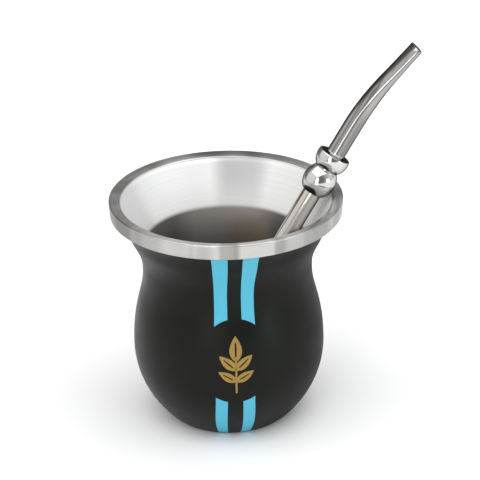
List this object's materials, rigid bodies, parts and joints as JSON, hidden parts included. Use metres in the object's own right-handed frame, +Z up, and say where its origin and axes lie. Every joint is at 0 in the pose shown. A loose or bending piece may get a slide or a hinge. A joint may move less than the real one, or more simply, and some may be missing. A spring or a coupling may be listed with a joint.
{
  "type": "mate cup with straw",
  "caption": "Waisted double-walled steel mate cup in a black coat with two light stripes, open and empty, with a bent steel straw leaning in its mouth.",
  "frame": {"origin": "centre of the cup's flat base, on the cup's axis", "axes": "+Z up the cup's axis, -Y towards the front with the stripes, +X towards the side that the straw leans to"},
  "size_m": [0.1147, 0.086, 0.1415],
  "materials": {
    "black_coat": "satin black powder coat with two light blue stripes",
    "brushed_steel": "fine brushed stainless steel, turned round the cup",
    "polished_steel": "polished stainless steel"
  },
  "bodies": {
    "root": {"outer_body": "black_coat", "liner": "brushed_steel", "straw_tube": "polished_steel", "collar": "polished_steel", "strainer": "polished_steel"}
  },
  "joints": []
}
